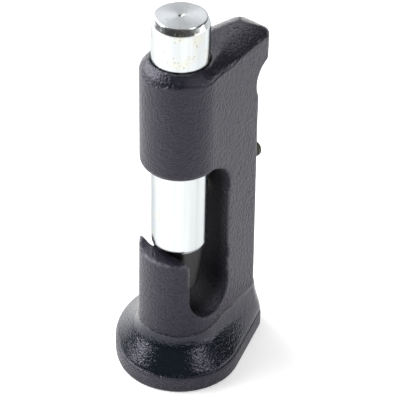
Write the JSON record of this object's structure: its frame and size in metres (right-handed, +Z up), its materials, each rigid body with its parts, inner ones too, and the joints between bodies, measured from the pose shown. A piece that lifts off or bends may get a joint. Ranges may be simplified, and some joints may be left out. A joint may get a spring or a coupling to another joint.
{
  "type": "hammer lug crimper",
  "caption": "Bench crimping tool: a steel ram slides in a cast barrel and its punch presses a cable lug into a round cradle.",
  "frame": {"origin": "on the underside of the foot, on the ram's axis", "axes": "+Z up along the ram's axis, -Y towards the cup and the front of the foot, +Y towards the horn, X along the lug's barrel"},
  "size_m": [0.066, 0.0823, 0.1852],
  "materials": {
    "black_paint": "semi-gloss",
    "bright_zinc": "polished",
    "black_oxide": "satin",
    "hardened_steel": "satin",
    "spring_steel": "satin"
  },
  "bodies": {
    "body": {"body_casting": "black_paint", "plunger_shell": "black_oxide", "plunger_spring": "spring_steel"},
    "ram": {"ram": "bright_zinc"},
    "plunger_nose": {"plunger_nose": "hardened_steel"}
  },
  "joints": [
    {"name": "ram_slide", "type": "slide", "parent": "body", "child": "ram", "axis": [0, 0, 1], "range_m": [-0.0029, 0.0165]},
    {"name": "nose_slide", "type": "slide", "parent": "body", "child": "plunger_nose", "axis": [0, 1, 0], "range_m": [0, 0.0014], "stiffness_N_per_m": 1500, "springref_m": -0.002, "deforming": ["plunger_spring"]}
  ]
}
